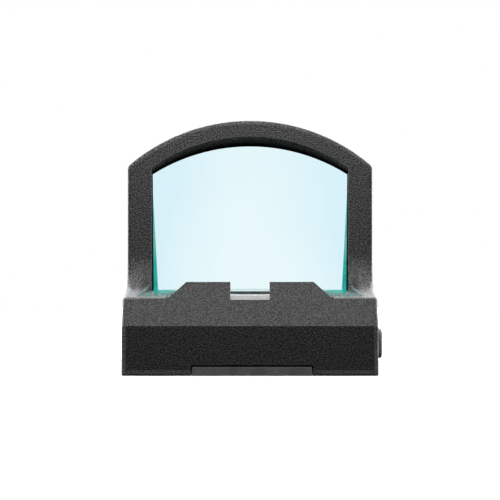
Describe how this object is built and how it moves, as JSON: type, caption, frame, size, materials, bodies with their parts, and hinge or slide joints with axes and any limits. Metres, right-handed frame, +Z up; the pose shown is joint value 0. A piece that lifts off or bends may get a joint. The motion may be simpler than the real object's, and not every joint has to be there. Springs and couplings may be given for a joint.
{
  "type": "reflex red dot sight",
  "caption": "Compact open reflex red dot finder: arched lens hood, notched rear posts, side button and a bottom battery cover.",
  "frame": {"origin": "middle of the flat underside of the housing", "axes": "+Z up, +Y forward along the line of sight towards the target, +X to the user's right, the button side"},
  "size_m": [0.0257, 0.041, 0.0255],
  "materials": {
    "housing": "fine-grained black coating on a forged aluminium body",
    "lens_glass": "coated optical glass, pale cyan in transmission",
    "adhesive": "clear optical adhesive that shows teal beside the coating",
    "bright_alloy": "machined, satin",
    "brass": "machined",
    "dark_steel": "black oxide",
    "spring_steel": "plain spring steel",
    "contact_metal": "gold-plated spring bronze",
    "rubber": "soft matte",
    "button_rubber": "moulded, fine grain",
    "board": "green solder mask on glass-fibre board",
    "chip_plastic": "moulded epoxy",
    "ceramic_part": "ceramic body with tinned ends",
    "led": "clear red resin",
    "polyimide": "amber flexible circuit",
    "insulator": "thin insulating film",
    "cover": "satin black plate",
    "cell": "nickel-plated cell case"
  },
  "bodies": {
    "housing": {"housing": "housing", "lens_rear_element": "lens_glass", "lens_front_element": "lens_glass", "lens_bond": "adhesive", "windage_screw_seal": "rubber", "windage_spring": "spring_steel", "circuit_board": "board", "board_screws": "spring_steel", "microcontroller": "chip_plastic", "motion_sensor": "chip_plastic", "voltage_regulator": "chip_plastic", "capacitors": "ceramic_part", "resistors": "chip_plastic", "flex_connector": "insulator", "tactile_switch": "chip_plastic", "button_seal": "rubber", "negative_contact": "contact_metal", "positive_contact": "contact_metal", "contact_insulator": "insulator", "battery_gasket": "rubber"},
    "windage_screw": {"windage_screw": "dark_steel", "windage_screw_clip": "spring_steel"},
    "windage_slide": {"windage_slide": "dark_steel", "elevation_spring": "spring_steel"},
    "elevation_screw": {"elevation_screw": "bright_alloy", "elevation_screw_clip": "spring_steel"},
    "emitter": {"emitter_block": "bright_alloy", "led_chip": "led", "reticle_mask": "dark_steel", "led_flex_cable": "polyimide"},
    "side_button": {"side_button": "button_rubber"},
    "switch_plunger": {"switch_plunger": "insulator"},
    "bottom_cover": {"bottom_cover": "cover", "cover_screws": "dark_steel", "coin_cell": "cell"}
  },
  "joints": [
    {"name": "windage_screw_turn", "type": "hinge", "parent": "housing", "child": "windage_screw", "pos_m": [-0.011, -0.0113, 0.0055], "axis": [1, 0, 0], "range_deg": [-514.79, 514.79]},
    {"name": "windage_travel", "type": "slide", "parent": "housing", "child": "windage_slide", "axis": [1, 0, 0], "range_m": [-0.0005, 0.0005], "deforming": ["windage_spring"]},
    {"name": "elevation_screw_turn", "type": "hinge", "parent": "windage_slide", "child": "elevation_screw", "pos_m": [0, -0.0121, 0.006], "axis": [0, 0, 1], "range_deg": [-411.93, 411.93]},
    {"name": "elevation_travel", "type": "slide", "parent": "windage_slide", "child": "emitter", "axis": [0, 0, 1], "range_m": [-0.0004, 0.0004], "deforming": ["elevation_spring"]},
    {"name": "button_press", "type": "slide", "parent": "housing", "child": "side_button", "axis": [-1, 0, 0], "range_m": [0, 0.0003], "stiffness_N_per_m": 500},
    {"name": "plunger_press", "type": "slide", "parent": "housing", "child": "switch_plunger", "axis": [-1, 0, 0], "range_m": [0, 0.0003]},
    {"name": "cover_removal", "type": "slide", "parent": "housing", "child": "bottom_cover", "axis": [0, 0, -1], "range_m": [0, 0.008]}
  ],
  "couplings": [
    {"joint": "windage_screw_turn", "follows": "windage_travel", "rad_per_m": -17952},
    {"joint": "elevation_screw_turn", "follows": "elevation_travel", "rad_per_m": -17952},
    {"joint": "plunger_press", "follows": "button_press", "ratio": 1}
  ]
}
